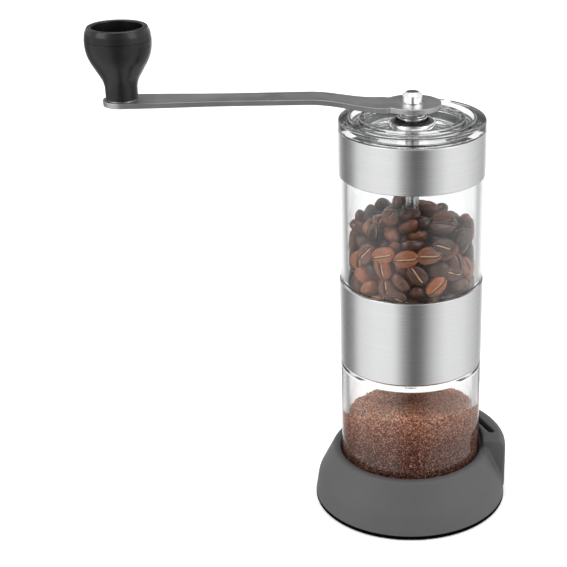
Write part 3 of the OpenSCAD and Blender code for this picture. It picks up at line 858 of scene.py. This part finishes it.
# ---------------------------------------------------------------- coffee

BEAN_HALF = Vector((5.25, 3.75, 2.55)) * MM
BEAN_COUNT = 390
FALL_SCALE = 100.0  # the fall is worked out at this many units to a metre
FALL_FRAMES = 90
FALL_FLOOR = 100 * MM
FALL_WALL = (90 * MM, 800 * MM)  # bottom and top of the wall that guides the fall
DROP_RING = 5  # beans in each ring that is dropped
DROP_R = 10.5  # in millimetres, as are the next two
DROP_LOW = 112
DROP_STEP = 11
HEAP_CENTRE = 148 * MM
HEAP_DROP = 18.5 * MM  # from the heap's centre to its edge


def bean_shape(rows, columns):
    """(points, faces, crease share) of one bean: a dome over a flat side with a curved crease."""
    crease_swing, crease_depth = 0.35 * MM, 1.25 * MM
    crease_half_w, lip_off, lip_half_w = 0.42, 0.95, 0.5  # in millimetres
    lip_height = 0.28 * MM
    points, crease = [], []
    for i in range(rows + 1):
        a = math.pi * i / rows
        for t in circle(columns):
            b = t - 0.7 * math.cos(t)  # closer steps beside the crease
            x, y, z = -math.cos(a), math.sin(a) * math.cos(b), math.sin(a) * math.sin(b)
            px = BEAN_HALF.x * math.copysign(abs(x) ** 0.94, x)
            py = BEAN_HALF.y * y * (1 - 0.06 * x)
            middle = crease_swing * math.sin(2.6 * x)
            off = (py - middle) / MM
            if z > 0:
                pz = BEAN_HALF.z * 1.3 * z ** 0.92
                depth = 0.0
            else:
                pz = -BEAN_HALF.z * 0.72 * min(1, (-z) ** 0.6)
                fade = max(0.0, 1 - abs(x) ** 4)
                depth = fade * math.exp(-(off / crease_half_w) ** 2)
                lip = math.exp(-((abs(off) - lip_off) / lip_half_w) ** 2)
                pz += crease_depth * depth - lip_height * fade * lip
            points.append((px, py, pz))
            crease.append(depth)
    faces = []
    for i in range(rows):
        for j in range(columns):
            m = (j + 1) % columns
            faces.append((i * columns + j, i * columns + m, (i + 1) * columns + m, (i + 1) * columns + j))
    return np.array(points), np.array(faces), np.array(crease)


def fall_mesh(name, verts, faces):
    """Mesh for the fall, from points in metres."""
    mesh = bpy.data.meshes.new(name)
    mesh.from_pydata([[c * FALL_SCALE for c in v] for v in verts], [], faces)
    return mesh


def fall_tube(name, radius, steps):
    """Upright open tube for the fall."""
    verts = [(radius * math.cos(t), radius * math.sin(t), z) for z in FALL_WALL for t in circle(steps)]
    faces = [(i, i + steps, (i + 1) % steps + steps, (i + 1) % steps) for i in range(steps)]
    return fall_mesh(name, verts, faces)


def fall_body(group, name, mesh, kind, shape, friction):
    """Object that takes part in the fall."""
    obj = bpy.data.objects.new(name, mesh)
    group.objects.link(obj)
    with bpy.context.temp_override(object=obj, active_object=obj, selected_objects=[obj]):
        bpy.ops.rigidbody.object_add(type=kind)
    obj.rigid_body.collision_shape = shape
    obj.rigid_body.friction = friction
    obj.rigid_body.restitution = 0.05
    obj.rigid_body.use_margin = True
    obj.rigid_body.collision_margin = 0.008
    return obj


def fall_world(scene):
    """Starts the fall's physics, and gives the group that holds the hopper's wall, the shaft and a floor."""
    bpy.ops.rigidbody.world_add()
    world = scene.rigidbody_world
    world.substeps_per_frame = 8
    world.solver_iterations = 12
    world.point_cache.frame_end = FALL_FRAMES
    scene.gravity = (0, 0, -30)
    group = bpy.data.collections.new("fall")
    scene.collection.children.link(group)
    world.collection = group
    wall = fall_tube("fall_wall", HOPPER_INNER_R - 0.15 * MM, 64)
    fall_body(group, "fall_wall", wall, "PASSIVE", "MESH", 0.25)
    shaft = fall_tube("fall_shaft", SHAFT_R + 0.2 * MM, 16)
    fall_body(group, "fall_shaft", shaft, "PASSIVE", "MESH", 0.4)
    side = 50 * MM
    square = [(-side, -side), (side, -side), (side, side), (-side, side)]
    base = fall_mesh("fall_floor", [(x, y, FALL_FLOOR) for x, y in square], [(0, 1, 2, 3)])
    fall_body(group, "fall_floor", base, "PASSIVE", "MESH", 0.9)
    return group


def dropped_beans(group, rng):
    """Beans hung in rings round the shaft, ready to fall."""
    points, faces, _ = bean_shape(7, 10)
    hull = fall_mesh("fall_bean", points.tolist(), faces.tolist())
    beans = []
    for k in range(BEAN_COUNT):
        layer, i = divmod(k, DROP_RING)
        turn = 2 * math.pi * i / DROP_RING + layer * 1.1 + rng.uniform(-0.15, 0.15)
        radius = (DROP_R + rng.uniform(-1, 1)) * MM
        bean = fall_body(group, f"fall_bean_{k}", hull, "ACTIVE", "CONVEX_HULL", 0.7)
        bean.rigid_body.linear_damping = 0.1
        bean.rigid_body.angular_damping = 0.3
        height = (DROP_LOW + layer * DROP_STEP) * MM
        bean.location = Vector((radius * math.cos(turn), radius * math.sin(turn), height)) * FALL_SCALE
        bean.rotation_euler = [rng.uniform(0, 2 * math.pi) for _ in range(3)]
        size = rng.uniform(0.92, 1.08)
        bean.scale = (size, size, size)
        beans.append(bean)
    return beans


def fallen_beans():
    """Where the beans come to rest: a list of 4x4 matrices in metres."""
    rng = random.Random(7)
    scene = bpy.context.scene
    gravity = tuple(scene.gravity)
    group = fall_world(scene)
    beans = dropped_beans(group, rng)
    for step in range(1, FALL_FRAMES + 1):
        scene.frame_set(step)
    graph = bpy.context.evaluated_depsgraph_get()
    places = []
    for bean in beans:
        place = bean.evaluated_get(graph).matrix_world.copy()
        place.translation = place.translation / FALL_SCALE
        places.append(place)
    bpy.ops.rigidbody.world_remove()
    for obj in list(group.objects):
        bpy.data.objects.remove(obj)
    bpy.data.collections.remove(group)
    scene.gravity = gravity
    scene.frame_set(1)
    return places


def bean_mesh(name, places, tones, rows, columns):
    """One mesh of all the beans at these places, with their tone and crease as attributes."""
    points, faces, crease = bean_shape(rows, columns)
    count = len(points)
    verts = np.concatenate([
        points @ np.array(place.to_3x3()).T + np.array(place.translation) for place in places
    ])
    quads = np.concatenate([faces + count * i for i in range(len(places))])
    mesh = bpy.data.meshes.new(name)
    mesh.from_pydata(verts.tolist(), [], quads.tolist())
    tone = mesh.attributes.new("tone", "FLOAT", "POINT")
    tone.data.foreach_set("value", np.repeat(tones, count))
    line = mesh.attributes.new("crease", "FLOAT", "POINT")
    line.data.foreach_set("value", np.tile(crease, len(places)))
    faces_outward(mesh, weld=0.001 * MM)
    smooth(mesh, 80)
    return new_object(name, mesh)


def flat_to_wall(place, roll):
    """The place of a bean near the wall, turned so that its flat side and crease face out."""
    spot = place.translation
    outward = Vector((spot.x, spot.y, 0)).normalized()
    across = Vector((-outward.y, outward.x, 0))
    along = across * math.cos(roll) + Vector((0, 0, 1)) * math.sin(roll)
    side = along.cross(outward)
    facing = Matrix((along, side, -outward)).transposed().to_4x4()
    facing.translation = outward * (HOPPER_INNER_R - 2.7 * MM) + Vector((0, 0, spot.z))
    return facing


def coffee_beans():
    """A heap of beans in the hopper: finely made where they show, plainer inside the heap."""
    by_wall, shown_r, shown_depth = 21 * MM, 17 * MM, 12 * MM
    rng = random.Random(11)
    skin = bean_skin()
    near, inner = ([], []), ([], [])
    for place in fallen_beans():
        spot = place.translation
        reach = math.hypot(spot.x, spot.y)
        surface = HEAP_CENTRE - HEAP_DROP * (reach / HOPPER_INNER_R) ** 0.79
        tone = min(1, max(0, rng.gauss(0.45, 0.24)))
        if spot.z > surface:
            continue
        if reach > by_wall and rng.random() < 0.5:
            place = flat_to_wall(place, rng.uniform(0, math.pi))
        shows = reach > shown_r or spot.z > surface - shown_depth
        group = near if shows else inner
        group[0].append(place)
        group[1].append(tone)
    for name, (places, tones), rows, columns in (
        ("coffee_beans", near, 20, 30),
        ("coffee_beans_inside", inner, 9, 12),
    ):
        piece = bean_mesh(name, places, tones, rows, columns)
        piece.data.materials.append(skin)
        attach(piece, "grinder")


GROUNDS_INSET = 2.97 * MM  # a hair less than the jar's wall, so that no air shows between
GROUNDS_R = JAR_R - GROUNDS_INSET
GROUNDS_FRONT = 51.2 * MM
TOP_LIGHT_SHARE = 0.4  # share of the wall's height over which the painted light along the top of the wall fades out
# strength of the painted light at the top of the wall
TOP_LIGHT_AT_WALL = 0.25


def grounds_height(x, y):
    """Top of the ground coffee, which falls away to the back and to the left."""
    x, t = x / MM, y / MM + 28
    fall = 0.075 * t + 0.0024 * t * t
    left = 0.0055 * x * x if x < 0 else 0
    waves = 0.5 * math.sin(x / 5) * math.cos(t / 6 + 1) + 0.3 * math.sin(x / 2.3 + t / 3)
    return GROUNDS_FRONT - (fall + left - waves) * MM


def grounds_points(turns, up, across):
    """Points of the coffee's side, ring by ring from below, then of its top, from the wall inwards."""
    bottom = JAR_BOTTOM + GROUNDS_INSET
    fillet = 2.4 * MM
    points = []
    for k in range(up + 1):
        for t in turns:
            x, y = GROUNDS_R * math.cos(t), GROUNDS_R * math.sin(t)
            z = bottom + k / up * (grounds_height(x, y) - bottom)
            deep = max(0, 1 - (z - bottom) / fillet)
            inset = fillet * (1 - math.sqrt(1 - deep * deep))
            points.append((x * (1 - inset / GROUNDS_R), y * (1 - inset / GROUNDS_R), z))
    for k in range(1, across):
        far = GROUNDS_R * (1 - k / across)
        for t in turns:
            x, y = far * math.cos(t), far * math.sin(t)
            points.append((x, y, grounds_height(x, y)))
    points.append((0, 0, grounds_height(0, 0)))
    return points


def ground_coffee():
    """Ground coffee packed in the jar, with a crumbly surface."""
    around, up, across = 380, 60, 90
    verts = grounds_points(circle(around), up, across)
    side = (up + 1) * around
    middle = len(verts) - 1
    last = (up + across - 1) * around
    faces = []
    for ring in range(0, last, around):
        for i in range(around):
            a, b = ring + i, ring + (i + 1) % around
            faces.append((a, b, b + around, a + around))
    faces += [(last + i, last + (i + 1) % around, middle) for i in range(around)]
    faces.append(tuple(reversed(range(around))))
    rng = np.random.default_rng(5)
    spots = np.array(verts)
    spots[side:, 2] += rng.normal(0, 0.36 * MM, len(spots) - side)
    spots[side - around:side, 2] += rng.normal(0, 0.45 * MM, around)
    piece = solid("ground_coffee", spots.tolist(), faces)
    smooth(piece.data, 180)
    # painted light: strongest at the top of the wall and fading down it; the top surface takes it in full
    fades = [TOP_LIGHT_AT_WALL * max(0.0, 1 - (1 - k / up) / TOP_LIGHT_SHARE) ** 1.5 for k in range(up + 1)]
    painted_top_light = piece.data.attributes.new("painted_top_light", "FLOAT", "POINT")
    painted_top_light.data.foreach_set("value", np.append(np.repeat(fades, around), np.ones(len(verts) - side)))
    piece.data.materials.append(ground_coffee_skin())
    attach(piece, "jar")


# ---------------------------------------------------------------- set, light and camera

def studio_floor():
    """Plain pale floor, a hair below the foot, kept out of what the steel and the clear parts show."""
    side = 6.0
    below = -0.05 * MM
    square = [(-side, -side, below), (side, -side, below), (side, side, below), (-side, side, below)]
    mesh = bpy.data.meshes.new("floor")
    mesh.from_pydata(square, [], [(0, 1, 2, 3)])
    floor = new_object("floor", mesh)
    n = Nodes("floor")
    clouds = n.noise((0.01, 0.01, 0.01), 2)
    n.into("Base Color", n.ramp(clouds, [(0.3, 0.93), (0.7, 0.95)]))
    n.set(Roughness=0.9, Emission_Strength=0.25)
    n.shader.inputs["Emission Color"].default_value = (1, 1, 1, 1)
    floor.data.materials.append(n.material)
    floor.visible_glossy = False
    floor.visible_transmission = False


# Brightness of the surround, as (degrees from straight in front, positive to the right, level).
LEVEL = [
    (-180, 1.15), (-160, 1.1), (-147, 0.5), (-128, 0.22), (-110, 0.36), (-92, 0.95), (-60, 1.08), (-28, 1.05),
    (-12, 0.4), (2, 0.13), (16, 0.2), (36, 0.72), (56, 1.02), (90, 1.0), (125, 0.68), (147, 0.5), (160, 1.1),
    (180, 1.15),
]
ABOVE = [  # the same, for what stands higher
    (-180, 0.12), (-163, 0.15), (-148, 1.0), (-96, 1.0), (-28, 1.05), (-10, 0.45), (6, 0.3), (24, 0.4),
    (44, 1.0), (104, 1.0), (148, 1.0), (163, 0.15), (180, 0.12),
]


def round_ramp(graph, turn, stops):
    """Grey levels round the object, where turn runs from 0 to 1."""
    return graph.ramp(turn, [(degrees / 360 + 0.5, level) for degrees, level in stops])


def studio_world():
    """Soft surround: tall bright panels left and right of the object with darker gaps between."""
    world = bpy.data.worlds.new("studio")
    bpy.context.scene.world = world
    world.use_nodes = True
    world.node_tree.nodes.clear()
    n = Graph(world.node_tree)
    axes = n.axes("Generated")
    towards = n.math("MULTIPLY", axes["Y"], -1.0)
    angle = n.math("ARCTAN2", axes["X"], towards)
    turn = n.math("ADD", n.math("DIVIDE", angle, 2 * math.pi), 0.5)
    lift = n.spread(axes["Z"], 0.0, 1.0, 0.0, 0.2)
    panels = n.mix(lift, round_ramp(n, turn, LEVEL), round_ramp(n, turn, ABOVE))
    camera_ray = n.add("ShaderNodeLightPath").outputs["Is Camera Ray"]
    background = n.add("ShaderNodeBackground")
    n.link(n.mix(camera_ray, panels, (1, 1, 1)), background.inputs["Color"])
    output = n.add("ShaderNodeOutputWorld")
    n.link(background.outputs[0], output.inputs["Surface"])


def softbox(name, place, target, width, height, power):
    """Rectangular lamp at place that faces target."""
    light = bpy.data.lights.new(name, "AREA")
    light.shape = "RECTANGLE"
    light.size = width
    light.size_y = height
    light.energy = power
    obj = new_object(name, light)
    obj.location = place
    obj.rotation_euler = (Vector(target) - Vector(place)).to_track_quat("-Z", "Y").to_euler()
    obj.visible_camera = False


def lights():
    middle = (0, 0, 0.11)
    softbox("key_left", (-0.9, -0.55, 0.95), middle, 0.7, 0.9, 5)
    softbox("fill_right", (1.0, -0.5, 0.75), middle, 0.6, 0.9, 3.5)
    softbox("overhead", (0.05, 0.25, 1.3), middle, 1.0, 0.8, 8)


CAMERA_PLACE = Vector((-9.6, -581.3, 351.0)) * MM
CAMERA_DOWN = 23.04  # degrees below level
CAMERA_LENS = 92.0
CAMERA_SHIFT = -0.1864  # share of the picture's width


def camera():
    data = bpy.data.cameras.new("camera")
    data.lens = CAMERA_LENS
    data.sensor_width = 36
    data.shift_x = CAMERA_SHIFT
    data.clip_start = 0.01
    data.clip_end = 50
    obj = new_object("camera", data)
    obj.location = CAMERA_PLACE
    obj.rotation_euler = (math.radians(90 - CAMERA_DOWN), 0, 0)
    bpy.context.scene.camera = obj


def render_look():
    scene = bpy.context.scene
    scene.view_settings.view_transform = "Standard"
    scene.view_settings.look = "None"
    scene.cycles.use_denoising = True
    scene.cycles.max_bounces = 16
    scene.cycles.transmission_bounces = 14
    scene.cycles.transparent_max_bounces = 16
    scene.cycles.glossy_bounces = 6
    scene.cycles.sample_clamp_indirect = 6
    scene.cycles.blur_glossy = 0.5
    scene.cycles.caustics_reflective = False
    scene.cycles.caustics_refractive = False


# ---------------------------------------------------------------- build

camera()
render_look()
studio_floor()
studio_world()
lights()

for entry in frame["record"]["subparts"]:
    finish_node(entry["node"], entry["material_slot"])

cap_nut()
hopper()
grounds_jar()
lid()
silicone_foot()
crank_arm()
coffee_beans()
ground_coffee()
